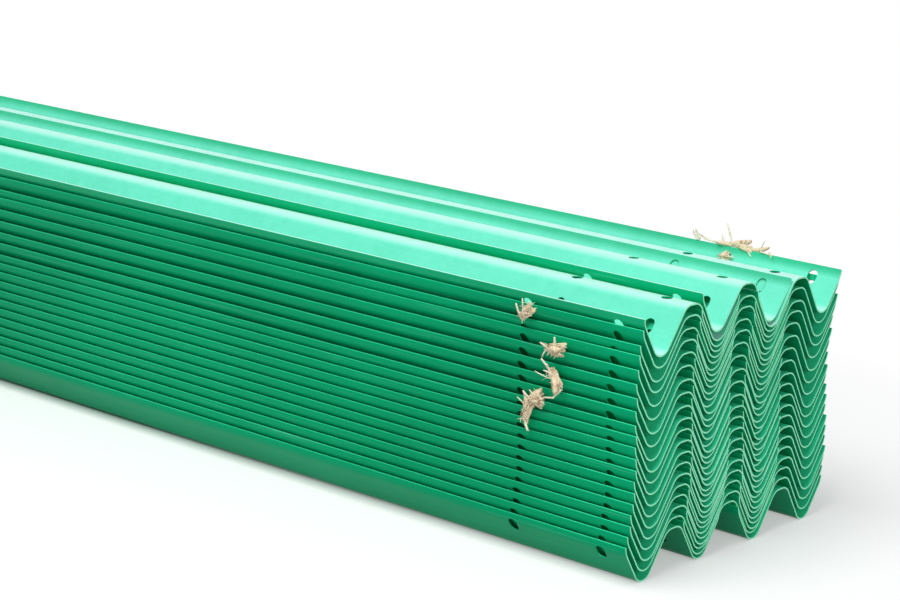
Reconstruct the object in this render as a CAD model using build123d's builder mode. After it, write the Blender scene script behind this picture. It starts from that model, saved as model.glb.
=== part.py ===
from build123d import *
import math
import os

# A stacked bundle of two-wave highway guardrail beams, nested three wide and twenty high,
# with their backs up. X runs across the beams, Y runs along them and Z is up.
# The origin is the centre of the bundle at floor level.

# Beam, millimetres and degrees
beam_length = 4320.0
beam_width = 310.0
beam_depth = 84.0
sheet = 3.0
wave_spacing = 184.0
web_slope = 55.0
bend_radius = 26.0
lip_lean = 12.0
lip_height = 14.0
lip_bend = 40.0

# Holes near each end of a beam, with heights above the wave's lowest line. Two beams lap over
# each other at a post, where both stations of one lie on both of the other
lap_length = 320.0
first_station = 59.0
splice_slot_along = 21.0
splice_slot_across = 30.0
inner_slot_height = 38.0
outer_slot_height = 53.0
back_hole = 21.0

# Bundle: the free side of an outer beam droops, by these angles from the top row down, and
# a row that droops is squeezed inwards, which makes it ride higher on the webs below
rows = 20
droops = [0.0, 0.0, 1.2, 0.0, 0.95, 1.2, 1.2, 0.95, 1.2, 0.15]
settled_squeeze = 3.3
droop_squeeze = 1.3
beam_gap = 0.3
end_slip = 6.0
end_jitter = 1.5

# The top middle beam lies with its front side propped up
top_tilt = 2.7
top_shift = 5.0
top_lift = 3.7

# Straw wads that are stuffed between the rows as packing
wad_length = 34.0
wad_height = 28.0
wad_depth = 16.0
wad_chamfer = 5.0
wad_gap = 0.3
top_wad_height = 24.0
top_wad_depth = 14.0

os.makedirs("parts", exist_ok=True)

# Corners of the sheet's under side, before the bends that round them
slope = math.radians(web_slope)
lean = math.radians(lip_lean)
wave_x = wave_spacing / 2
wave_z = -(bend_radius + sheet) * (1 / math.cos(slope) - 1)
back_z = beam_depth - sheet
back_x = wave_x - (back_z - wave_z) / math.tan(slope)
lip_top_x = beam_width / 2
lip_foot_x = lip_top_x - lip_height * math.sin(lean)
lip_foot_z = wave_z + (lip_foot_x - wave_x) * math.tan(slope)
lip_top_z = lip_foot_z + lip_height * math.cos(lean)
bends = [lip_bend + sheet, bend_radius + sheet, bend_radius]

# Places of the holes along a beam, the same at both ends
stations = [first_station, lap_length - first_station]
hole_ys = [end * (beam_length / 2 - station) for end in (-1, 1) for station in stations]


def droop(row):
    """How far the free side of a row's outer beams hangs down, in degrees."""
    down = rows - row
    return droops[down] if down < len(droops) and row > 1 else 0.0


def squeeze(row):
    """How far the outer beams of a row stand inside the spacing of the waves."""
    return settled_squeeze + droop_squeeze * droop(row)


def ride(row):
    """Height of a beam above the beam that it rests on, web on web."""
    return (sheet + beam_gap) / math.cos(slope) + squeeze(row) * math.tan(slope)


def column_x(row, column):
    """Middle of one beam across the bundle."""
    return column * (wave_spacing - squeeze(row))


def beam_z(row, column):
    """Height of one beam, where each row rests on the middle beam of the row below."""
    height = sum(ride(lower) + ride(lower + 1) for lower in range(1, row))
    return height + ride(row) if column == 0 else height


def slip(row, column):
    """How far one beam has slid along its neighbours, drifting slowly from row to row."""
    drift = math.sin(0.35 * (rows - row) - 0.5 * (column + 1))
    jitter = math.sin(2.3 * row + 1.9 * column)
    return end_slip * drift + end_jitter * jitter


def beam_place(row, column):
    """Place of one beam, where column -1 is the front, 0 the middle and 1 the back."""
    place = Location((column_x(row, column), slip(row, column), beam_z(row, column)))
    if column != 0:
        pivot = Location((-column * wave_x, 0, bend_radius + sheet))
        lean_over = Location((0, 0, 0), (0, column * droop(row), 0))
        return place * pivot * lean_over * pivot.inverse()
    if row == rows:
        return Location((-top_shift, 0, top_lift)) * place * Location((0, 0, 0), (0, top_tilt, 0))
    return place


def lip(row):
    """Top of a row's outermost lip, on its under side."""
    return (beam_place(row, 1) * Location((lip_top_x, 0, lip_top_z))).position


def web_plane(side, outward, height):
    """Plane on the under side of one web, with its X along the beam."""
    x = side * (wave_x + outward * (height - wave_z) / math.tan(slope))
    normal = (-side * outward * math.sin(slope), 0, math.cos(slope))
    return Plane(origin=(x, 0, height), x_dir=(0, 1, 0), z_dir=normal)


def cut_slots(side, outward, height):
    """Splice slots through one web, at both stations of both ends."""
    with BuildSketch(web_plane(side, outward, height)) as slots:
        with Locations(*[(y, 0) for y in hole_ys]):
            SlotOverall(splice_slot_across, splice_slot_along, rotation=90)
    extrude(slots.sketch, amount=2 * sheet, both=True, mode=Mode.SUBTRACT)


# Rolled sheet of one beam, without its holes
with BuildPart() as rolled_beam:
    with BuildSketch(Plane.XZ.offset(-beam_length / 2)):
        with BuildLine():
            FilletPolyline(
                (-lip_top_x, lip_top_z),
                (-lip_foot_x, lip_foot_z),
                (-wave_x, wave_z),
                (-back_x, back_z),
                (back_x, back_z),
                (wave_x, wave_z),
                (lip_foot_x, lip_foot_z),
                (lip_top_x, lip_top_z),
                radius=bends + bends[::-1],
            )
            offset(amount=sheet, side=Side.LEFT)
        make_face()
    extrude(amount=beam_length)

# Beam with slots in one outer web only, for the rows where no other holes show
outer_slotted = {}
for side in (-1, 1):
    with BuildPart() as outer_beam:
        add(rolled_beam.part)
        cut_slots(side, 1, outer_slot_height)
    outer_slotted[side] = outer_beam.part

# Beam with all its holes, as the top row shows them
with BuildPart() as full_beam:
    add(rolled_beam.part)
    for side in (-1, 1):
        cut_slots(side, -1, inner_slot_height)
        cut_slots(side, 1, outer_slot_height)
    with BuildSketch(Plane.XY.offset(beam_depth)):
        with Locations(*[(0, y) for y in hole_ys]):
            Circle(back_hole / 2)
    extrude(amount=-2 * sheet, mode=Mode.SUBTRACT)

# Rows of the bundle
for row in range(1, rows + 1):
    with BuildPart() as outer_beams:
        for column in (-1, 1):
            shape = full_beam.part if row == rows else outer_slotted[column]
            add(shape.moved(beam_place(row, column)))
    outer_beams.part.label = f"row_{row:02d}_outer_beams"
    export_step(outer_beams.part, f"parts/row_{row:02d}_outer_beams.step")

    with BuildPart() as middle_beam:
        shape = full_beam.part if row == rows else rolled_beam.part
        add(shape.moved(beam_place(row, 0)))
    middle_beam.part.label = f"row_{row:02d}_middle_beam"
    export_step(middle_beam.part, f"parts/row_{row:02d}_middle_beam.step")


def lip_face(height):
    """Outermost lip that a wad at this height leans on: the nearest, or one that it covers."""
    lips = sorted([lip(row) for row in range(1, rows + 1)], key=lambda top: abs(top.Z - height))
    covered = [top for top in lips if abs(top.Z - height) <= wad_height / 2]
    return max(top.X for top in lips[:1] + covered)


def top_wad_place(end):
    """Place of the wad that plugs the outer slot of the top back beam, on its upper side."""
    web = web_plane(1, 1, outer_slot_height)
    rise = sheet + wad_gap + top_wad_depth / 2
    middle = web.origin + web.z_dir * rise + Vector(0, end * (beam_length / 2 - stations[1]), 0)
    return beam_place(rows, 1) * Plane(origin=middle, x_dir=web.x_dir, z_dir=web.z_dir).location


# Straw wads on both long sides: distance from the beam's end, and rows below the top lip
wads = [(253.0, 1.51), (183.0, 3.85), (179.0, 6.0), (217.0, 7.72), (236.0, 9.2)]
for end, end_name in ((-1, "near"), (1, "far")):
    for side, side_name in ((-1, "front"), (1, "back")):
        with BuildPart() as straw:
            for from_end, rows_down in wads:
                row = int(rows - rows_down)
                part_way = rows - rows_down - row
                wad_z = lip(row).Z + part_way * (lip(row + 1).Z - lip(row).Z)
                wad_x = side * (lip_face(wad_z) + wad_gap + wad_depth / 2)
                with Locations((wad_x, end * (beam_length / 2 - from_end), wad_z)):
                    Box(wad_depth, wad_length, wad_height)
            if side == 1:
                with Locations(top_wad_place(end)):
                    Box(wad_length, top_wad_height, top_wad_depth)
            chamfer(straw.edges(), length=wad_chamfer)
        straw.part.label = f"straw_{side_name}_{end_name}"
        export_step(straw.part, f"parts/straw_{side_name}_{end_name}.step")

print("height", round(beam_z(rows, 0) + top_lift + beam_depth, 1), "top row", round(beam_z(rows, 1), 3))
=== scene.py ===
"""Studio scene of a bundle of green coated guardrail beams that is packed with straw.

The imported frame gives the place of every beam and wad. This file gives them their looks.
Sizes in fields are millimetres and degrees, unless their class says otherwise.
"""

import logging
import math
import random
from collections.abc import Callable, Sequence
from dataclasses import dataclass
from enum import Enum

import bpy
from mathutils import Matrix, Vector


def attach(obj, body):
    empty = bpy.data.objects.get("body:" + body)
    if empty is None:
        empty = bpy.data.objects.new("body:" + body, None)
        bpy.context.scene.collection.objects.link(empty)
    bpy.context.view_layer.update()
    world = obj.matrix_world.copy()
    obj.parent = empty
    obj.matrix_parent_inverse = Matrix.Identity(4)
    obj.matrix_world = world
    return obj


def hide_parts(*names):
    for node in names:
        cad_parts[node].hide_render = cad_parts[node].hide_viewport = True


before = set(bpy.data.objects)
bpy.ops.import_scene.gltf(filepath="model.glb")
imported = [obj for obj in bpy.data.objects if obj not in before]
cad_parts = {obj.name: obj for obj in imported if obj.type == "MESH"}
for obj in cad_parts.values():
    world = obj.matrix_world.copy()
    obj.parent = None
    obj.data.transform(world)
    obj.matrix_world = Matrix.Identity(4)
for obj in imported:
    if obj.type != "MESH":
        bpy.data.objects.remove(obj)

LOG = logging.getLogger("guardrail_bundle")
MM = 0.001

Piece = bpy.types.Object
Material = bpy.types.Material
Socket = bpy.types.NodeSocket
Tree = bpy.types.NodeTree
Colour = tuple[float, float, float, float]
Place = tuple[float, float, float]
Span = tuple[float, float]


class Side(Enum):
    """The two long sides of the bundle, by their direction across it."""

    FRONT = -1
    BACK = 1


class End(Enum):
    """The two ends of the bundle, by their direction along it."""

    NEAR = -1
    FAR = 1


# ---------------------------------------------------------------- colour and nodes

def linear(hex_colour: str) -> Colour:
    """Turns an sRGB hex colour into the linear values that shaders use, by that standard.

    Args:
        hex_colour: The colour as six hex digits.

    Returns:
        Red, green, blue and an alpha of one.
    """
    channels = [int(hex_colour[i:i + 2], 16) / 255 for i in (0, 2, 4)]
    values = [c / 12.92 if c <= 0.04045 else ((c + 0.055) / 1.055) ** 2.4 for c in channels]
    return (values[0], values[1], values[2], 1.0)


def add_node(tree: Tree, kind: str, links: dict[str | int, object] | None = None,
             **settings: object) -> bpy.types.Node:
    """Adds one shader node with its settings and its incoming links.

    Args:
        tree: The node tree that gets the node.
        kind: The node's type name.
        links: Input name or number, and the output or plain value that goes into it.
        **settings: Properties of the node itself.

    Returns:
        The new node.
    """
    node = tree.nodes.new(kind)
    for name, value in settings.items():
        setattr(node, name, value)
    for key, value in (links or {}).items():
        if isinstance(value, Socket):
            tree.links.new(value, node.inputs[key])
        else:
            node.inputs[key].default_value = value
    return node


def blank_material(name: str) -> Material:
    """Makes a material whose node tree is empty.

    Args:
        name: The material's name.

    Returns:
        The material.
    """
    material = bpy.data.materials.new(name)
    material.use_nodes = True
    material.node_tree.nodes.clear()
    return material


def seen_directly(tree: Tree) -> Socket:
    """Tells what is looked at from what only throws light.

    Args:
        tree: The node tree.

    Returns:
        An output that is 1 for camera, gloss and transmission rays, and 0 for others.
    """
    path = add_node(tree, "ShaderNodeLightPath")
    seen = path.outputs["Is Camera Ray"]
    for ray in ("Is Glossy Ray", "Is Transmission Ray"):
        seen = add_node(tree, "ShaderNodeMath", {0: seen, 1: path.outputs[ray]},
                        operation="MAXIMUM").outputs[0]
    return seen


@dataclass(frozen=True)
class PolyesterPowderCoat:
    """Green polyester powder coat over galvanised steel, sprayed and baked.

    Semi-gloss: a broad pale highlight along every bend, a faint orange peel, and scuffs along
    the length where beams slid over each other. Its gloss takes on the green of the pigment.
    What faces up turns pale mint: partly dust, partly a painted reflection of the sky.
    Shares run from 0 to 1. A span holds the two values of its pattern that become 0 and 1:
    of a noise, of a face's upward look, or of the metres from the beam's middle. Roughness is
    that of the clean and of the worn coat.
    """

    name: str = "green_polyester_powder_coat"
    colour: str = "00BE82"
    deep: str = "00B076"
    batch_mm: float = 454.545
    batch_span: Span = (0.35, 0.65)
    pale: str = "7FF0D0"
    scuff_mm: float = 6.0
    scuff_stretch: Place = (1.0, 0.02, 1.0)
    scuff_span: Span = (0.60, 0.78)
    scuff_share: float = 0.25
    # Pale mint on what faces up: partly dust, partly a painted reflection of the sky
    dust_and_painted_sheen: str = "9CFFF2"
    dust_and_sheen_share: float = 0.08
    patch_mm: float = 41.667
    patch_span: Span = (-1.2, 0.8)
    up_span: Span = (0.05, 0.60)
    # Painted light on what faces up near the open ends, where light reaches into the hollows
    painted_end_light: str = "40F2B8"
    painted_end_light_share: float = 0.45
    end_span: Span = (1.94, 2.10)
    # Painted highlight along the tops of the crests
    painted_crest_highlight: str = "DCFFF8"
    painted_crest_highlight_share: float = 0.0
    crest_span: Span = (0.70, 1.0)
    gloss: str = "3CE0AC"
    shine: float = 0.10
    roughness: Span = (0.30, 0.46)
    peel_mm: float = 5.0
    peel_height: float = 0.4
    sag_mm: float = 260.0
    sag_stretch: Place = (1.0, 0.25, 1.0)
    sag_height: float = 4.0

    def masks(self, tree: Tree, place: Socket) -> list[Socket]:
        """Makes the masks that say where each tone of the coat shows.

        Args:
            tree: The material's node tree.
            place: The object coordinates.

        Returns:
            The masks of the second batch, scuffs, dust and painted sheen, painted end light and
            crests.
        """
        # Broad, lazy shade changes of one spray batch to the next
        batch = add_node(tree, "ShaderNodeTexNoise",
                         {"Vector": place, "Scale": 1 / (self.batch_mm * MM), "Detail": 2.0})
        # Scuffs run along the beam, so their pattern is stretched that way
        along = add_node(tree, "ShaderNodeMapping",
                         {"Vector": place, "Scale": self.scuff_stretch})
        scuff = add_node(tree, "ShaderNodeTexNoise",
                         {"Vector": along.outputs[0], "Scale": 1 / (self.scuff_mm * MM),
                          "Detail": 3.0, "Roughness": 0.6})
        patch = add_node(tree, "ShaderNodeTexNoise",
                         {"Vector": place, "Scale": 1 / (self.patch_mm * MM),
                          "Detail": 6.0, "Roughness": 0.7})
        normal = add_node(tree, "ShaderNodeNewGeometry").outputs["Normal"]
        facing = add_node(tree, "ShaderNodeSeparateXYZ", {0: normal}).outputs["Z"]
        spot = add_node(tree, "ShaderNodeSeparateXYZ", {0: place}).outputs["Y"]
        from_middle = add_node(tree, "ShaderNodeMath", {0: spot}, operation="ABSOLUTE")
        second, scuffed, up, patchy, near_end, crest = [
            add_node(tree, "ShaderNodeMapRange", {0: source, 1: low, 2: high}).outputs[0]
            for source, (low, high) in (
                (batch.outputs[0], self.batch_span), (scuff.outputs[0], self.scuff_span),
                (facing, self.up_span), (patch.outputs[0], self.patch_span),
                (from_middle.outputs[0], self.end_span), (facing, self.crest_span))]
        # Dust and a painted sky reflection lie on what faces up, and so does painted light where it
        # reaches into the hollows at the open ends
        dust_and_sheen_mask, painted_end_light_mask = [
            add_node(tree, "ShaderNodeMath", {0: up, 1: part}, operation="MULTIPLY").outputs[0]
            for part in (patchy, near_end)]
        return [second, scuffed, dust_and_sheen_mask, painted_end_light_mask, crest]

    def bumps(self, tree: Tree, place: Socket) -> Socket:
        """Makes the coat's relief.

        Args:
            tree: The material's node tree.
            place: The object coordinates.

        Returns:
            The bumped normal.
        """
        # Orange peel, drawn a little coarser than real so that it shows
        peel = add_node(tree, "ShaderNodeTexNoise",
                        {"Vector": place, "Scale": 1 / (self.peel_mm * MM), "Detail": 1.0})
        fine = add_node(tree, "ShaderNodeBump",
                        {"Height": peel.outputs[0], "Strength": 0.12,
                         "Distance": self.peel_height * MM})
        # Rolled sheet is never quite flat: long shallow waves
        long_waves = add_node(tree, "ShaderNodeMapping",
                              {"Vector": place, "Scale": self.sag_stretch})
        sag = add_node(tree, "ShaderNodeTexNoise",
                       {"Vector": long_waves.outputs[0], "Scale": 1 / (self.sag_mm * MM),
                        "Detail": 2.0})
        wave = add_node(tree, "ShaderNodeBump",
                        {"Height": sag.outputs[0], "Strength": 0.5,
                         "Distance": self.sag_height * MM, "Normal": fine.outputs[0]})
        return wave.outputs[0]

    def build(self) -> Material:
        """Makes the material.

        Returns:
            The material.
        """
        material = blank_material(self.name)
        tree = material.node_tree
        place = add_node(tree, "ShaderNodeTexCoord").outputs["Object"]
        second, scuffed, dust_and_sheen_mask, painted_end_light_mask, crest = self.masks(tree, place)
        # The very top of a wave gets a painted highlight, palest, over all the other tones
        tone = linear(self.colour)
        for mask, share, colour in (
                (second, 1.0, self.deep), (scuffed, self.scuff_share, self.pale),
                (dust_and_sheen_mask, self.dust_and_sheen_share, self.dust_and_painted_sheen), (painted_end_light_mask, self.painted_end_light_share, self.painted_end_light),
                (crest, self.painted_crest_highlight_share, self.painted_crest_highlight)):
            part = add_node(tree, "ShaderNodeMath", {0: mask, 1: share}, operation="MULTIPLY")
            tone = add_node(tree, "ShaderNodeMix",
                            {0: part.outputs[0], 6: tone, 7: linear(colour)},
                            data_type="RGBA").outputs[2]
        worn = add_node(tree, "ShaderNodeMath", {0: dust_and_sheen_mask, 1: scuffed}, operation="MAXIMUM")
        rough = add_node(tree, "ShaderNodeMapRange",
                         {0: worn.outputs[0], 3: self.roughness[0], 4: self.roughness[1]})
        shader = add_node(tree, "ShaderNodeBsdfPrincipled",
                          {"Base Color": tone, "Roughness": rough.outputs[0],
                           "Normal": self.bumps(tree, place), "IOR": 1.5,
                           "Specular IOR Level": self.shine,
                           "Specular Tint": linear(self.gloss)})
        add_node(tree, "ShaderNodeOutputMaterial", {"Surface": shader.outputs[0]})
        return material


@dataclass(frozen=True)
class DriedStraw:
    """Dry rice straw, twisted by hand: matt, pale tan, with painted highlights, painted shade and
    dirt.
    """

    name: str = "dried_rice_straw"
    colour: str = "E2C8A0"
    pale: str = "F0E2C8"
    grain_mm: float = 3.0
    grain_span: Span = (0.35, 0.7)
    grain_height: float = 1.2
    painted_shade_and_dirt: str = "A88664"
    clump_mm: float = 8.3333
    clump_span: Span = (0.55, 0.72)

    def build(self) -> Material:
        """Makes the material.

        Returns:
            The material.
        """
        material = blank_material(self.name)
        tree = material.node_tree
        place = add_node(tree, "ShaderNodeTexCoord").outputs["Object"]
        grain = add_node(tree, "ShaderNodeTexNoise",
                         {"Vector": place, "Scale": 1 / (self.grain_mm * MM), "Detail": 2.0})
        clump = add_node(tree, "ShaderNodeTexNoise",
                         {"Vector": place, "Scale": 1 / (self.clump_mm * MM), "Detail": 3.0})
        # Paler on the raised grain and darker in patches at random: painted highlights and painted
        # shade among the strands, with some dirt
        tone = linear(self.colour)
        for pattern, (low, high), colour in ((grain, self.grain_span, self.pale),
                                             (clump, self.clump_span, self.painted_shade_and_dirt)):
            mask = add_node(tree, "ShaderNodeMapRange", {0: pattern.outputs[0], 1: low, 2: high})
            tone = add_node(tree, "ShaderNodeMix",
                            {0: mask.outputs[0], 6: tone, 7: linear(colour)},
                            data_type="RGBA").outputs[2]
        bump = add_node(tree, "ShaderNodeBump",
                        {"Height": grain.outputs[0], "Strength": 0.8,
                         "Distance": self.grain_height * MM})
        shader = add_node(tree, "ShaderNodeBsdfPrincipled",
                          {"Base Color": tone, "Roughness": 0.72, "Normal": bump.outputs[0],
                           "IOR": 1.45, "Specular IOR Level": 0.3})
        add_node(tree, "ShaderNodeOutputMaterial", {"Surface": shader.outputs[0]})
        return material


# ---------------------------------------------------------------- edit-mode helpers

def clear_selection() -> None:
    """Leaves edit mode and deselects every object."""
    if bpy.context.mode != "OBJECT":
        bpy.ops.object.mode_set(mode="OBJECT")
    bpy.ops.object.select_all(action="DESELECT")


def make_active(piece: Piece) -> None:
    """Selects one object alone and makes it the active one.

    Args:
        piece: The object.
    """
    clear_selection()
    piece.select_set(True)
    bpy.context.view_layer.objects.active = piece


def pick(piece: Piece, kind: str, test: Callable[[Vector], bool]) -> int:
    """Selects, in edit mode, the points or edges that lie where a test says.

    Args:
        piece: The mesh object that is being edited.
        kind: VERT or EDGE.
        test: Takes a point's place. All points of what is picked pass it.

    Returns:
        How many are selected.
    """
    bpy.ops.mesh.select_mode(type=kind)
    bpy.ops.mesh.select_all(action="DESELECT")
    bpy.ops.object.mode_set(mode="OBJECT")
    passed = [bool(test(point.co)) for point in piece.data.vertices]
    count = 0
    for part in piece.data.edges if kind == "EDGE" else piece.data.vertices:
        corners = part.vertices if kind == "EDGE" else (part.index,)
        part.select = all(passed[i] for i in corners)
        count += part.select
    bpy.ops.object.mode_set(mode="EDIT")
    return count


def apply_modifier(piece: Piece, kind: str, **settings: object) -> None:
    """Adds a modifier to an object and applies it.

    Args:
        piece: The object.
        kind: The modifier's type.
        **settings: The modifier's properties.
    """
    make_active(piece)
    modifier = piece.modifiers.new(kind.lower(), kind)
    for name, value in settings.items():
        setattr(modifier, name, value)
    bpy.ops.object.modifier_apply(modifier=modifier.name)


def copy_piece(master: Piece, name: str, turn: Matrix) -> Piece:
    """Copies an object with its own mesh and puts its new place into that mesh.

    Args:
        master: The object that is copied.
        name: The copy's name.
        turn: The place and turn that go into the mesh.

    Returns:
        The copy, with its object at the origin.
    """
    mesh = master.data.copy()
    mesh.name = name
    mesh.transform(turn)
    piece = bpy.data.objects.new(name, mesh)
    bpy.context.scene.collection.objects.link(piece)
    return piece


def join(pieces: list[Piece]) -> Piece:
    """Joins objects into the first one.

    Args:
        pieces: The objects.

    Returns:
        The joined object.
    """
    clear_selection()
    for piece in pieces:
        piece.select_set(True)
    bpy.context.view_layer.objects.active = pieces[0]
    if len(pieces) > 1:
        bpy.ops.object.join()
    return pieces[0]


# ---------------------------------------------------------------- the beams

@dataclass
class GuardrailBeam:
    """One two-wave beam, roll-formed from flat strip and punched near both ends.

    The corners of the section are those of the sheet's under side before they are bent round.
    """

    length: float = 4320.0
    width: float = 310.0
    depth: float = 84.0
    sheet: float = 3.0
    wave_spacing: float = 184.0
    web_slope: float = 55.0
    bend_radius: float = 26.0
    lip_lean: float = 12.0
    lip_height: float = 14.0
    lip_bend: float = 40.0
    lap: float = 320.0
    first_station: float = 59.0
    slot_along: float = 21.0
    slot_across: float = 30.0
    inner_slot_height: float = 38.0
    outer_slot_height: float = 53.0
    back_hole: float = 21.0
    burr: float = 0.45
    bend_step: float = 6.5
    least_steps: int = 4
    crop_margin: float = 24.0
    crop_parts: int = 12
    punch_sides: int = 28
    punch_sheets: float = 8.0
    nearness: float = 0.02

    def half_section(self) -> list[tuple[float, float, float]]:
        """Works out the corners on the +X half, from the lip in to the back.

        Returns:
            X, Z and bend radius of each corner. The first, the lip's top, has no bend.
        """
        slope, lean = math.radians(self.web_slope), math.radians(self.lip_lean)
        wave_x = self.wave_spacing / 2
        wave_z = -(self.bend_radius + self.sheet) * (1 / math.cos(slope) - 1)
        back_z = self.depth - self.sheet
        back_x = wave_x - (back_z - wave_z) / math.tan(slope)
        foot_x = self.width / 2 - self.lip_height * math.sin(lean)
        foot_z = wave_z + (foot_x - wave_x) * math.tan(slope)
        return [(self.width / 2, foot_z + self.lip_height * math.cos(lean), 0.0),
                (foot_x, foot_z, self.lip_bend + self.sheet),
                (wave_x, wave_z, self.bend_radius + self.sheet),
                (back_x, back_z, self.bend_radius)]

    def corners(self) -> list[tuple[float, float, float]]:
        """Returns all the corners of the section, from the −X lip to the +X lip."""
        half = self.half_section()
        return [(-x, z, r) for x, z, r in half] + half[::-1]

    def flats_and_bends(self) -> tuple[list[Vector], list[tuple[Vector, float]]]:
        """Works out where the section's flats end and how its bends turn.

        Returns:
            The two end points of every flat, in order, and each bend's centre and its turn
            in radians.
        """
        points = self.corners()
        flats, bends = [Vector(points[0][:2])], []
        for before, here, after in zip(points, points[1:], points[2:]):
            corner = Vector(here[:2])
            back = (Vector(before[:2]) - corner).normalized()
            on = (Vector(after[:2]) - corner).normalized()
            turn = math.pi - back.angle(on)
            tangent = here[2] * math.tan(turn / 2)
            way = 1 if back.x * on.y - back.y * on.x < 0 else -1
            centre = corner + (back + on).normalized() * here[2] / math.cos(turn / 2)
            flats += [corner + back * tangent, corner + on * tangent]
            bends.append((centre, turn * way))
        flats.append(Vector(points[-1][:2]))
        return flats, bends

    def roll(self) -> Piece:
        """Rolls the strip from one lip to the other: flats are extruded and bends are spun.

        Returns:
            The open sheet, as its under side.
        """
        flats, bends = self.flats_and_bends()
        clear_selection()
        start, end = flats[0], flats[1]
        bpy.ops.mesh.primitive_plane_add(size=1.0)
        sheet = bpy.context.active_object
        sheet.name = "beam_master"
        bpy.ops.object.mode_set(mode="EDIT")
        bpy.ops.transform.resize(value=((end.x - start.x) * MM, self.length * MM, 1.0))
        bpy.ops.transform.translate(value=((start.x + end.x) / 2 * MM, 0.0, start.y * MM))
        middle = (start.x + end.x) / 2 * MM
        pick(sheet, "VERT", lambda p: p.x > middle)
        bpy.ops.transform.translate(value=(0.0, 0.0, (end.y - start.y) * MM))
        for i, (centre, turn) in enumerate(bends):
            at, after, last = flats[2 * i + 1], flats[2 * i + 2], flats[2 * i + 3]
            self.pick_end(sheet, at)
            steps = max(self.least_steps, round(math.degrees(abs(turn)) / self.bend_step))
            bpy.ops.mesh.spin(steps=steps, angle=turn, axis=(0.0, 1.0, 0.0),
                              center=(centre.x * MM, 0.0, centre.y * MM))
            self.pick_end(sheet, after)
            step = (last - after) * MM
            bpy.ops.mesh.extrude_region_move(
                TRANSFORM_OT_translate={"value": (step.x, 0.0, step.y)})
        return sheet

    def pick_end(self, sheet: Piece, at: Vector) -> None:
        """Selects the sheet's edge that runs along the beam at one point of the section.

        Args:
            sheet: The sheet that is being rolled.
            at: The point.

        Raises:
            RuntimeError: No edge, or more than one, lies there.
        """
        near = self.nearness * MM
        count = pick(sheet, "EDGE", lambda p: (abs(p.x - at.x * MM) < near
                                               and abs(p.z - at.y * MM) < near))
        if count != 1:
            raise RuntimeError(f"the sheet's edge isn't at {tuple(at)}: {count}")

    def station_places(self) -> list[float]:
        """Returns the places of the hole stations along the beam."""
        stations = (self.first_station, self.lap - self.first_station)
        return [end * (self.length / 2 - s) for end in (-1, 1) for s in stations]

    def crop_lines(self, sheet: Piece) -> None:
        """Cuts the long faces across near each station, so that holes stay in small faces.

        Args:
            sheet: The rolled sheet, in edit mode.
        """
        cuts = [y + d for y in self.station_places() for d in (-self.crop_margin,
                                                               self.crop_margin)]
        half = self.crop_parts // 2
        cuts += [self.length * k / self.crop_parts for k in range(1 - half, half)]
        for y in cuts:
            bpy.ops.mesh.select_all(action="SELECT")
            bpy.ops.mesh.bisect(plane_co=(0.0, y * MM, 0.0), plane_no=(0.0, 1.0, 0.0))

    def punches(self) -> Piece:
        """Makes the punches for every slot and hole, in place.

        Returns:
            The punches, as one object.
        """
        slope = math.radians(self.web_slope)
        wave_x, wave_z = self.wave_spacing / 2, self.half_section()[2][1]
        reach = (self.slot_across - self.slot_along) / 2 * MM
        rounds = []
        for diameter in (self.slot_along, self.back_hole):
            clear_selection()
            bpy.ops.mesh.primitive_cylinder_add(vertices=self.punch_sides,
                                                radius=diameter / 2 * MM,
                                                depth=self.punch_sheets * self.sheet * MM)
            rounds.append(bpy.context.active_object)
        slot, hole = rounds
        make_active(slot)
        bpy.ops.object.mode_set(mode="EDIT")
        for way in (-1, 1):
            pick(slot, "VERT", lambda p: p.x * way > self.nearness * MM)
            bpy.ops.transform.translate(value=(way * reach, 0.0, 0.0))
        clear_selection()
        made = []
        for y in self.station_places():
            made.append(copy_piece(hole, "punch", Matrix.Translation(
                (0.0, y * MM, self.depth * MM))))
            for side in (-1, 1):
                for outward, height in ((1, self.outer_slot_height),
                                        (-1, self.inner_slot_height)):
                    x = side * (wave_x + outward * (height - wave_z) / math.tan(slope))
                    place = Matrix.Translation((x * MM, y * MM, height * MM))
                    lean = Matrix.Rotation(-side * outward * slope, 4, "Y")
                    made.append(copy_piece(slot, "punch", place @ lean))
        for spare in rounds:
            bpy.data.objects.remove(spare)
        return join(made)

    def build(self, coat: Material, painted_lit_edge_coat: Material) -> Piece:
        """Makes the finished master beam.

        Args:
            coat: The beam's finish.
            painted_lit_edge_coat: The finish of the cut edges, painted pale for the light they
                catch.

        Returns:
            The master, centred along Y and standing on Z = 0.
        """
        sheet = self.roll()
        self.crop_lines(sheet)
        bpy.ops.mesh.select_all(action="SELECT")
        bpy.ops.mesh.normals_make_consistent(inside=False)
        clear_selection()
        highest = max(sheet.data.polygons, key=lambda face: face.center.z)
        if highest.normal.z < 0:
            sheet.data.flip_normals()
        sheet.data.materials.clear()
        sheet.data.materials.append(coat)
        sheet.data.materials.append(painted_lit_edge_coat)
        apply_modifier(sheet, "SOLIDIFY", thickness=self.sheet * MM, offset=1.0,
                       use_even_offset=True, material_offset_rim=1)
        # Only the sheared ends keep the edges' pale finish, which is painted light, and the lips'
        # rims get the coat
        for face in sheet.data.polygons:
            if abs(face.normal.y) < 0.5:
                face.material_index = 0
        punch = self.punches()
        apply_modifier(sheet, "BOOLEAN", object=punch, operation="DIFFERENCE", solver="EXACT")
        bpy.data.objects.remove(punch)
        apply_modifier(sheet, "BEVEL", width=self.burr * MM, segments=2,
                       limit_method="ANGLE", angle_limit=math.radians(50))
        make_active(sheet)
        bpy.ops.object.shade_smooth_by_angle(angle=math.radians(40))
        apply_modifier(sheet, "WEIGHTED_NORMAL", keep_sharp=True, weight=50)
        return sheet


def extent(points: Sequence[Sequence[float]]) -> tuple[Vector, Vector]:
    """Returns the lowest and highest corner of a group of points."""
    return (Vector([min(p[i] for p in points) for i in range(3)]),
            Vector([max(p[i] for p in points) for i in range(3)]))


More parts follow.
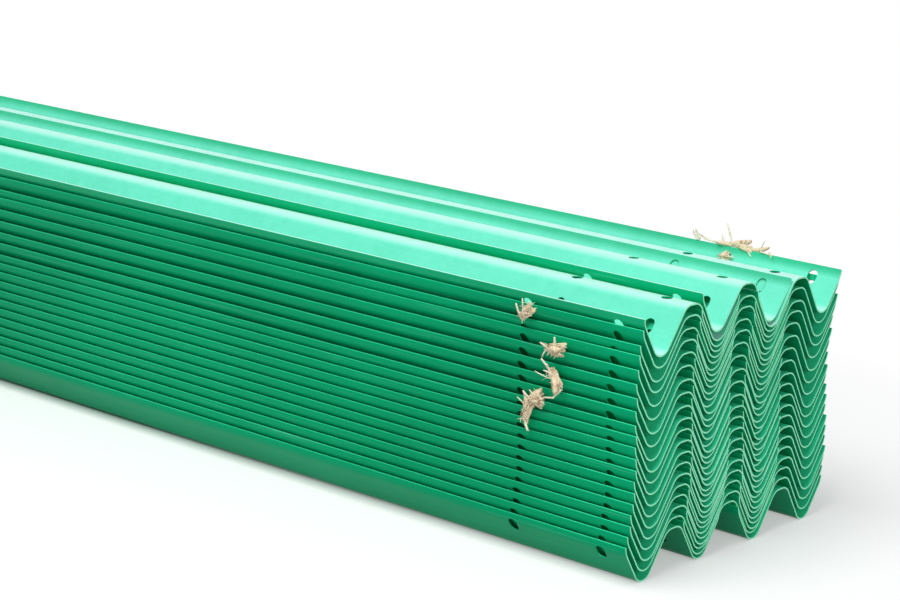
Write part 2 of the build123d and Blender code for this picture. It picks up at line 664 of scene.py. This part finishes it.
def solid_boxes(node: str) -> list[tuple[Vector, Vector]]:
    """Finds the separate solids of a frame node.

    Args:
        node: The node's name.

    Returns:
        The lowest and highest corner of each solid, in order along X, then Y, then Z.
    """
    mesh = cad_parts[node].data
    parent: dict[tuple, tuple] = {}

    def root(key: tuple) -> tuple:
        """Follows a corner to the corner that stands for its solid.

        Args:
            key: The corner.

        Returns:
            The corner that stands for it.
        """
        while parent[key] != key:
            parent[key] = parent[parent[key]]
            key = parent[key]
        return key

    # Corners that agree to 0.01 mm are one
    keys = [tuple(round(c, 5) for c in v.co) for v in mesh.vertices]
    for key in keys:
        parent.setdefault(key, key)
    for face in mesh.polygons:
        first = root(keys[face.vertices[0]])
        for i in face.vertices[1:]:
            parent[root(keys[i])] = first
    solids: dict[tuple, list[tuple]] = {}
    for key in parent:
        solids.setdefault(root(key), []).append(key)
    return sorted([extent(solid) for solid in solids.values()],
                  key=lambda box: tuple(round(c, 3) for c in box[0]))


@dataclass
class BeamStack:
    """Three columns of beams, twenty rows high, each beam where the frame puts it.

    The droops are how far the free sides of the outer beams hang down, from the top row down.
    """

    rows: int = 20
    top_tilt: float = 2.7
    droops: tuple[float, ...] = (0.0, 0.0, 1.2, 0.0, 0.95, 1.2, 1.2, 0.95, 1.2, 0.15)
    slot_name: str = "green_coat"

    def place_beam(self, master: Piece, name: str, tilt: float,
                   box: tuple[Vector, Vector]) -> Piece:
        """Copies the master beam into the box of its frame solid.

        Args:
            master: The finished beam.
            name: The copy's name.
            tilt: How far it leans.
            box: The lowest and highest corner of the solid it stands for.

        Returns:
            The copy.
        """
        lean = Matrix.Rotation(math.radians(tilt), 4, "Y")
        low, high = extent([lean @ v.co for v in master.data.vertices])
        move = (box[0] + box[1]) / 2 - (low + high) / 2
        return copy_piece(master, name, Matrix.Translation(move) @ lean)

    def leans(self, row: int, kind: str) -> tuple[float, ...]:
        """Says how far each beam of a node leans over.

        Args:
            row: The node's row, from 1 at the floor.
            kind: Which of the row's two nodes it is.

        Returns:
            The lean of each beam, from the front one on.
        """
        if kind == "middle_beam":
            return (self.top_tilt if row == self.rows else 0.0,)
        down = self.rows - row
        droop = self.droops[down] if down < len(self.droops) else 0.0
        return tuple(side.value * droop for side in Side)

    def build(self, beam: GuardrailBeam, coat: Material, top_row_coat_with_painted_light: Material,
              painted_lit_edge_coat: Material) -> list[Piece]:
        """Copies the master beam to every place in the stack.

        Args:
            beam: The beam's sizes.
            coat: The beams' finish.
            top_row_coat_with_painted_light: The top row's finish, dusty where it lies open to the
                weather, with a stronger painted sky reflection and a painted crest highlight.
            painted_lit_edge_coat: The finish of their cut edges, painted pale for the light they
                catch.

        Returns:
            The finished pieces, from the floor up.
        """
        master = beam.build(coat, painted_lit_edge_coat)
        pieces = []
        for row in range(1, self.rows + 1):
            for kind in ("outer_beams", "middle_beam"):
                node = f"row_{row:02d}_{kind}"
                piece = join([self.place_beam(master, f"{node}_coated", lean, box)
                              for lean, box in zip(self.leans(row, kind), solid_boxes(node))])
                piece.name = f"{node}_coated"
                if row == self.rows:
                    piece.data.materials[0] = top_row_coat_with_painted_light
                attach(piece, "root")
                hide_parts(node)
                pieces.append(piece)
        bpy.data.objects.remove(master)
        return pieces


# ---------------------------------------------------------------- the straw

@dataclass(frozen=True)
class Tail:
    """One stalk that stands out of a wad, from a point between the wad's ends, at ±0.5.

    A stalk with a knee takes the knee's angle a little before the middle of its length. On
    the back lip, the start is in millimetres from the middle of the straw there.
    """

    angle: float
    length: float
    radius: float
    start: float = 0.0
    knee: float | None = None


@dataclass(frozen=True)
class Tuft:
    """How one wad of straw lies and frays where it comes out between two lips.

    Angles are as seen from outside, from the way to the nearer end of the beams round to the
    way up.
    """

    lean: float
    length: float
    width: float
    tails: tuple[Tail, ...]


@dataclass(frozen=True)
class Corner:
    """One long side of the bundle near one of its ends, where straw sticks out."""

    out: Vector
    along: Vector

    def aim(self, angle: float, lift: float) -> Vector:
        """Turns an angle seen from outside to a direction.

        Args:
            angle: The angle, from the way to the beams' nearer end round to the way up.
            lift: How far the direction then rises off the beams.

        Returns:
            The direction.
        """
        turn, rise = math.radians(angle), math.radians(lift)
        flat = self.along * math.cos(turn) + Vector((0.0, 0.0, math.sin(turn)))
        return flat * math.cos(rise) + self.out * math.sin(rise)


@dataclass(frozen=True)
class StalkForm:
    """How single stalks are bent: each one's curl, and their swell at each joint."""

    curls: tuple[float, ...]
    swell: tuple[float, ...]
    sides: int


@dataclass
class Stalks:
    """The single stalks that all the straw is laid from."""

    stems: list[Piece]
    locks: list[Piece]
    tails: list[Piece]


@dataclass
class StrawPacking:
    """Wads of hand-twisted straw that are stuffed between the beams.

    Each wad is a few thick locks that lie one way, with finer stems over them and long tails.
    Spans are the least and the most of a random draw, and "out" is the way off the beams.
    Shifts and asides are shares of the wad's length and width, and so are a lock's length and
    radius. The spin of a stalk about itself is in radians.
    """

    tufts: tuple[Tuft, ...] = (
        Tuft(48, 37, 18, (Tail(99, 30, 1.6, -0.2), Tail(72, 15, 1.9, 0.3),
                          Tail(144, 24, 2.3, -0.4), Tail(-20, 10, 1.4, 0.2))),
        Tuft(14, 42, 24, (Tail(88, 24, 2.2), Tail(134, 20, 2.3, -0.3), Tail(6, 16, 1.8, 0.4),
                          Tail(214, 16, 1.7, -0.4), Tail(242, 15, 1.5, -0.2))),
        Tuft(-52, 54, 20, (Tail(131, 24, 2.2, -0.4), Tail(150, 16, 1.8, -0.2),
                           Tail(80, 18, 2.0, -0.2), Tail(177, 48, 1.1),
                           Tail(-128, 46, 1.9, 0.45, -168))),
        Tuft(18, 34, 25, (Tail(151, 20, 1.9, -0.4), Tail(172, 18, 1.6, -0.3),
                          Tail(104, 17, 1.5), Tail(-60, 15, 1.6, 0.2))),
        Tuft(79, 50, 20, (Tail(124, 26, 2.3, 0.3), Tail(154, 30, 1.3, 0.2),
                          Tail(-106, 20, 2.3, -0.3), Tail(-70, 24, 2.2, -0.3))),
        Tuft(10, 27, 16, (Tail(24, 12, 1.6, 0.3), Tail(168, 13, 1.6, -0.3), Tail(85, 10, 1.5))))
    rope: tuple[Tail, ...] = (
        Tail(0, 44, 3.4, -4.0), Tail(-3, 40, 3.2, 22.0), Tail(-12, 34, 2.9, 48.0),
        Tail(4, 36, 2.6, 10.0), Tail(177, 30, 2.4, 6.0))
    twigs: tuple[Tail, ...] = (
        Tail(181, 48, 2.2, -12.0), Tail(175, 40, 1.9, -40.0), Tail(150, 14, 2.4, -72.0),
        Tail(184, 12, 3.0, -74.0), Tail(116, 42, 2.1, 6.0), Tail(146, 18, 2.2, -8.0),
        Tail(96, 14, 1.7, 34.0), Tail(8, 40, 1.7, 50.0, 60), Tail(-3, 26, 1.7, 74.0),
        Tail(-75, 9, 1.8, 22.0), Tail(-88, 10, 2.0, 42.0), Tail(4, 10, 2.8, 92.0))
    seed: int = 11
    top_node: str = "row_20_outer_beams"
    slot_name: str = "straw"

    master_length: float = 20.0
    axis_span: Span = (-1.0, 1.0)
    kink_share: float = 0.3
    kink: float = 2.0
    curl_span: Span = (-0.3, 1.0)
    spin_span: Span = (0.0, 6.28)
    stem_form: StalkForm = StalkForm((9.0, 12.0, 15.0, 18.0, 21.0, 24.0),
                                     (0.98, 0.95, 0.92, 0.88, 0.84, 0.6), 5)
    lock_form: StalkForm = StalkForm((4.5,) * 5, (1.5, 1.25, 1.1, 1.0, 0.95, 0.85, 0.7), 6)
    tail_form: StalkForm = StalkForm((1.5, 4.5, 7.5, 10.5),
                                     (1.05, 1.0, 0.98, 0.96, 0.94, 0.8), 5)

    locks: int = 13
    lock_aside: Span = (-0.34, 0.34)
    lock_turn: Span = (-15.0, 15.0)
    lock_lift: Span = (-8.0, 8.0)
    lock_length: Span = (0.75, 0.95)
    lock_out: Span = (-5.0, 3.0)
    lock_shift: Span = (-0.12, 0.12)
    lock_radius: Span = (0.06, 0.11)
    core_radius: float = 0.15

    stems: int = 48
    stem_turn: float = 22.0
    stray_turn: Span = (-80.0, 80.0)
    stray_every: int = 3
    stem_lift: Span = (-6.0, 16.0)
    stem_shift: Span = (-0.42, 0.42)
    stem_out: Span = (-1.0, 6.0)
    stem_length: Span = (7.0, 12.0)
    stem_radius: Span = (0.5, 0.95)

    tail_out: float = 2.0
    tail_root: float = 4.0
    tail_lift: Span = (0.0, 5.0)
    knee_at: float = 0.45
    knee_runs: Span = (0.48, 0.55)
    knee_taper: float = 0.9

    rope_height: float = 4.0
    twig_height: float = 3.0
    rope_out: Span = (-4.0, 1.0)
    rope_rise: Span = (-1.0, 1.0)

    def __post_init__(self) -> None:
        """Seeds the dice that every random draw uses."""
        self.dice = random.Random(self.seed)

    def draw(self, span: Span) -> float:
        """Draws a random number between the two ends of a span."""
        return self.dice.uniform(*span)

    def bend_stalk(self, curl: float, form: StalkForm) -> Piece:
        """Makes one bent stalk, 2 mm thick, that goes up from the origin.

        Args:
            curl: How far it bends at each joint.
            form: Its swell and its sides.

        Returns:
            The stalk.
        """
        clear_selection()
        bpy.ops.mesh.primitive_circle_add(vertices=form.sides, radius=MM, fill_type="NGON")
        stalk = bpy.context.active_object
        bpy.ops.object.mode_set(mode="EDIT")
        way = Vector((0.0, 0.0, 1.0))
        turn_axis = Vector((self.draw(self.axis_span), self.draw(self.axis_span), 0.0)).normalized()
        for growth in form.swell:
            kink = self.kink if self.dice.random() < self.kink_share else 1.0
            way = Matrix.Rotation(math.radians(curl * kink * self.draw(self.curl_span)), 3,
                                  turn_axis) @ way
            bpy.ops.mesh.extrude_region_move(TRANSFORM_OT_translate={
                "value": tuple(way * self.master_length / len(form.swell) * MM)})
            bpy.ops.transform.resize(value=(growth, growth, growth))
        bpy.ops.mesh.select_all(action="SELECT")
        bpy.ops.mesh.normals_make_consistent(inside=False)
        clear_selection()
        for face in stalk.data.polygons:
            face.use_smooth = True
        return stalk

    def make_stalks(self, straw: Material, stalk: Material) -> Stalks:
        """Makes the single stalks and gives them their materials.

        Args:
            straw: The matted straw's material.
            stalk: The material of the long pale stalks.

        Returns:
            The stalks.
        """
        stems, locks, tails = [[self.bend_stalk(curl, form) for curl in form.curls]
                               for form in (self.stem_form, self.lock_form, self.tail_form)]
        for shape in stems[::2] + locks:
            shape.data.materials.append(straw)
        # Every other stem takes the pale stalks' material, partly as painted highlights on the wads
        for shape in stems[1::2] + tails:
            shape.data.materials.append(stalk)
        return Stalks(stems, locks, tails)

    def lay(self, shape: Piece, start: Vector, way: Vector, length: float,
            radius: float) -> Piece:
        """Copies a stalk to a place.

        Args:
            shape: The stalk to copy.
            start: Where it starts, in metres.
            way: The direction that it takes.
            length: Its length.
            radius: Its radius.

        Returns:
            The copy.
        """
        turn = way.to_track_quat("Z", "Y").to_matrix().to_4x4()
        spin = Matrix.Rotation(self.draw(self.spin_span), 4, "Z")
        size = Matrix.Diagonal((radius, radius, length / self.master_length, 1.0))
        return copy_piece(shape, "stalk", Matrix.Translation(start) @ turn @ spin @ size)

    def wad(self, tuft: Tuft, middle: Vector, corner: Corner,
            stalks: Stalks) -> list[Piece]:
        """Makes one wad.

        Args:
            tuft: How it lies and frays.
            middle: Its middle, in metres.
            corner: Where on the bundle it sticks out.
            stalks: The stalks to copy.

        Returns:
            The wad's pieces.
        """
        axis, across = corner.aim(tuft.lean, 0.0), corner.aim(tuft.lean + 90.0, 0.0)
        made = []
        # The first lock is the wad's thick core
        for k in range(self.locks):
            aside = self.draw(self.lock_aside) if k else 0.0
            way = corner.aim(tuft.lean + self.draw(self.lock_turn),
                             self.draw(self.lock_lift))
            length = tuft.length * self.draw(self.lock_length) * (1.0 - abs(aside))
            side = across * aside * tuft.width + corner.out * self.draw(self.lock_out)
            side += axis * self.draw(self.lock_shift) * tuft.length
            start = middle + (side - way * length / 2) * MM
            radius = self.draw(self.lock_radius) if k else self.core_radius
            made.append(self.lay(stalks.locks[k % len(stalks.locks)], start, way, length,
                                 tuft.width * radius))
        # Some stems stray far from the wad's lean
        for k in range(self.stems):
            flip = 180.0 if self.dice.random() < 0.5 else 0.0
            spread = (self.dice.gauss(0, self.stem_turn) if k % self.stray_every
                      else self.draw(self.stray_turn))
            way = corner.aim(tuft.lean + flip + spread, self.draw(self.stem_lift))
            start = middle + (axis * self.draw(self.stem_shift) * tuft.length
                              + across * self.draw(self.stem_shift) * tuft.width
                              + corner.out * self.draw(self.stem_out)) * MM
            made.append(self.lay(stalks.stems[k % len(stalks.stems)], start, way,
                                 self.draw(self.stem_length), self.draw(self.stem_radius)))
        for k, tail in enumerate(tuft.tails):
            start = middle + (axis * tail.start * tuft.length
                              + corner.out * self.tail_out) * MM
            start -= corner.aim(tail.angle, 0.0) * self.tail_root * MM
            made += self.grow(tail, start, corner, stalks.tails, k)
        return made

    def grow(self, tail: Tail, start: Vector, corner: Corner, shapes: list[Piece],
             turn: int) -> list[Piece]:
        """Grows one long stalk, in one run or in two with a knee between them.

        Args:
            tail: The stalk's sizes.
            start: Where it starts, in metres.
            corner: Where on the bundle it sticks out.
            shapes: The stalks to copy, the straightest one first.
            turn: Which of them a stalk without a knee takes.

        Returns:
            The stalk's one or two pieces.
        """
        lift = self.draw(self.tail_lift)
        first, length = corner.aim(tail.angle, lift), tail.length + self.tail_root
        if tail.knee is None:
            return [self.lay(shapes[turn % len(shapes)], start, first, length, tail.radius)]
        knee = start + first * self.knee_at * length * MM
        return [self.lay(shapes[0], start, first, self.knee_runs[0] * length, tail.radius),
                self.lay(shapes[0], knee, corner.aim(tail.knee, lift),
                         self.knee_runs[1] * tail.length, tail.radius * self.knee_taper)]

    def lay_rope(self, lip: Vector, corner: Corner, stalks: Stalks) -> list[Piece]:
        """Lays the frayed rope end that rests on the back lip.

        Args:
            lip: The lip's top beside the rope, in metres.
            corner: Where on the bundle it lies.
            stalks: The stalks to copy.

        Returns:
            The rope's pieces.
        """
        made = []
        for strands, shapes, height in ((self.rope, stalks.locks, self.rope_height),
                                        (self.twigs, stalks.tails, self.twig_height)):
            for k, strand in enumerate(strands):
                aside = corner.along * strand.start + corner.out * self.draw(self.rope_out)
                rise = Vector((0.0, 0.0, height + self.draw(self.rope_rise)))
                made += self.grow(strand, lip + (aside + rise) * MM, corner, shapes, k)
        return made

    def build(self, straw: Material, stalk: Material, beam: GuardrailBeam) -> list[Piece]:
        """Makes the straw of every frame node.

        Args:
            straw: The matted straw's material.
            stalk: The material of the long pale stalks.
            beam: The beams' sizes, which give the lip that the loose twigs lie on.

        Returns:
            The finished pieces.
        """
        stalks = self.make_stalks(straw, stalk)
        lip_x, lip_z = (value * MM for value in beam.half_section()[0][:2])
        pieces = []
        for side in Side:
            for end in End:
                node = f"straw_{side.name.lower()}_{end.name.lower()}"
                corner = Corner(Vector((side.value, 0.0, 0.0)), Vector((0.0, end.value, 0.0)))
                boxes = sorted(solid_boxes(node), key=lambda box: -box[1].z)
                # On the back, the highest wad is the plug of the top beam's slot, made last
                if side is Side.BACK:
                    boxes.append(boxes.pop(0))
                made = []
                for tuft, (low, high) in zip(self.tufts, boxes):
                    made += self.wad(tuft, (low + high) / 2, corner, stalks)
                if side is Side.BACK:
                    plug_y = (boxes[-1][0].y + boxes[-1][1].y) / 2
                    low, high = solid_boxes(self.top_node)[-1]
                    lip = Vector(((low.x + high.x) / 2 + lip_x, plug_y, low.z + lip_z))
                    made += self.lay_rope(lip, corner, stalks)
                piece = join(made)
                piece.name = f"{node}_wads"
                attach(piece, "root")
                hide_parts(node)
                pieces.append(piece)
        for spare in stalks.stems + stalks.locks + stalks.tails:
            bpy.data.objects.remove(spare)
        return pieces


# ---------------------------------------------------------------- studio

@dataclass(frozen=True)
class Lamp:
    """One soft area lamp, in metres and watts, that hangs at its place and faces its target."""

    name: str
    place: Place
    target: Place
    size: Span
    power: float

    def hang(self) -> None:
        """Hangs the lamp."""
        data = bpy.data.lights.new(self.name, "AREA")
        data.shape, data.energy = "RECTANGLE", self.power
        data.size, data.size_y = self.size
        lamp = bpy.data.objects.new(self.name, data)
        way = Vector(self.target) - Vector(self.place)
        lamp.matrix_world = (Matrix.Translation(self.place)
                             @ way.to_track_quat("-Z", "Y").to_matrix().to_4x4())
        lamp.visible_camera = False
        bpy.context.scene.collection.objects.link(lamp)


@dataclass
class Studio:
    """Plain pale floor, soft lamps and the camera. Lengths are in metres, but for the lens."""

    eye: Place = (-3.66368, -4.38439, 1.45345)
    right: Place = (0.63400183, -0.77123026, 0.05696992)
    upward: Place = (0.14181925, 0.18837083, 0.97180437)
    lens_mm: float = 93.814
    film_mm: float = 36.0
    ambient: float = 0.27
    sky: str = "F4FAFF"
    floor_size: float = 80.0
    floor_seen: str = "FCFCFC"
    floor_unseen: str = "ACACAC"
    fade_stretch: Place = (1.0, 0.42, 1.0)
    fade_span: Span = (0.45, 1.7)
    lamps: tuple[Lamp, ...] = (
        Lamp("key", (-2.4, -1.2, 5.3), (0.0, -0.6, 0.3), (4.0, 4.0), 283.0),
        Lamp("end", (-1.8, -6.2, 1.8), (0.0, -2.0, 0.3), (2.2, 2.2), 95.0),
        Lamp("low", (-4.0, -0.6, 0.35), (0.0, -0.6, 0.3), (5.0, 0.6), 4.5))

    def camera(self) -> None:
        """Sets up the camera at the photograph's viewing angle."""
        data = bpy.data.cameras.new("camera")
        data.lens, data.sensor_width, data.sensor_fit = self.lens_mm, self.film_mm, "HORIZONTAL"
        data.clip_end = 100.0
        camera = bpy.data.objects.new("camera", data)
        x = Vector(self.right).normalized()
        y = Vector(self.upward).normalized()
        z = x.cross(y)
        turn = Matrix((x, y, z)).transposed().to_4x4()
        camera.matrix_world = Matrix.Translation(self.eye) @ turn
        bpy.context.scene.collection.objects.link(camera)
        bpy.context.scene.camera = camera

    def world(self) -> None:
        """Makes the white surroundings, which light the object at a plain level."""
        world = bpy.data.worlds.new("studio")
        bpy.context.scene.world = world
        world.use_nodes = True
        tree = world.node_tree
        tree.nodes.clear()
        soft = add_node(tree, "ShaderNodeBackground",
                        {"Color": linear(self.sky), "Strength": self.ambient})
        white = add_node(tree, "ShaderNodeBackground",
                         {"Color": (1.0, 1.0, 1.0, 1.0), "Strength": 1.0})
        mixed = add_node(tree, "ShaderNodeMixShader",
                         {0: seen_directly(tree), 1: soft.outputs[0], 2: white.outputs[0]})
        add_node(tree, "ShaderNodeOutputWorld", {"Surface": mixed.outputs[0]})

    def floor(self) -> None:
        """Lays the pale floor, which turns plain white away from the object."""
        clear_selection()
        bpy.ops.mesh.primitive_plane_add(size=self.floor_size)
        floor = bpy.context.active_object
        floor.name = "studio_floor"
        material = blank_material("pale_floor")
        tree = material.node_tree
        place = add_node(tree, "ShaderNodeTexCoord").outputs["Object"]
        squeezed = add_node(tree, "ShaderNodeMapping",
                            {"Vector": place, "Scale": self.fade_stretch})
        reach = add_node(tree, "ShaderNodeVectorMath", {0: squeezed.outputs[0]},
                         operation="LENGTH")
        far = add_node(tree, "ShaderNodeMapRange",
                       {0: reach.outputs["Value"], 1: self.fade_span[0], 2: self.fade_span[1]})
        seen = seen_directly(tree)
        away = add_node(tree, "ShaderNodeMath", {0: far.outputs[0], 1: seen},
                        operation="MULTIPLY")
        # The floor throws less light back at the object than it shows
        tone = add_node(tree, "ShaderNodeMix", {0: seen, 6: linear(self.floor_unseen),
                                                7: linear(self.floor_seen)}, data_type="RGBA")
        shade = add_node(tree, "ShaderNodeBsdfDiffuse", {"Color": tone.outputs[2]})
        white = add_node(tree, "ShaderNodeEmission", {"Color": (1.0, 1.0, 1.0, 1.0),
                                                      "Strength": 1.0})
        mixed = add_node(tree, "ShaderNodeMixShader", {0: away.outputs[0], 1: shade.outputs[0],
                                                       2: white.outputs[0]})
        add_node(tree, "ShaderNodeOutputMaterial", {"Surface": mixed.outputs[0]})
        floor.data.materials.append(material)

    def build(self) -> None:
        """Sets up everything around the object."""
        self.camera()
        self.world()
        self.floor()
        for lamp in self.lamps:
            lamp.hang()
        bpy.context.scene.view_settings.view_transform = "Standard"


def main() -> None:
    """Builds the studio and the object, in order, and reports each piece."""
    logging.basicConfig(level=logging.INFO, format="%(message)s")
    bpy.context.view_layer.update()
    Studio().build()
    coat = PolyesterPowderCoat().build()
    # The top row has more dust, a stronger painted sky reflection, a painted crest highlight and
    # more gloss, and no painted light at the ends
    top_row_coat_with_painted_light = PolyesterPowderCoat(name="weathered_green_powder_coat", dust_and_sheen_share=0.58,
                                    painted_crest_highlight_share=0.56, painted_end_light_share=0.0, shine=0.5).build()
    # The cut ends are painted pale mint, as painted light on edges that catch the light
    painted_lit_edge_coat = PolyesterPowderCoat(name="green_coat_painted_lit_edges", colour="A4FFD4",
                                    deep="98F6C8", pale="C4FFEA").build()
    beam = GuardrailBeam()
    pieces = BeamStack().build(beam, coat, top_row_coat_with_painted_light, painted_lit_edge_coat)
    stalk = DriedStraw(name="dried_rice_stalks", colour="EFE2C6", painted_shade_and_dirt="CDB48C",
                       pale="FBF5E6").build()
    pieces += StrawPacking().build(DriedStraw().build(), stalk, beam)
    for piece in pieces:
        LOG.info("%s: %d faces", piece.name, len(piece.data.polygons))


if __name__ == "__main__":
    main()
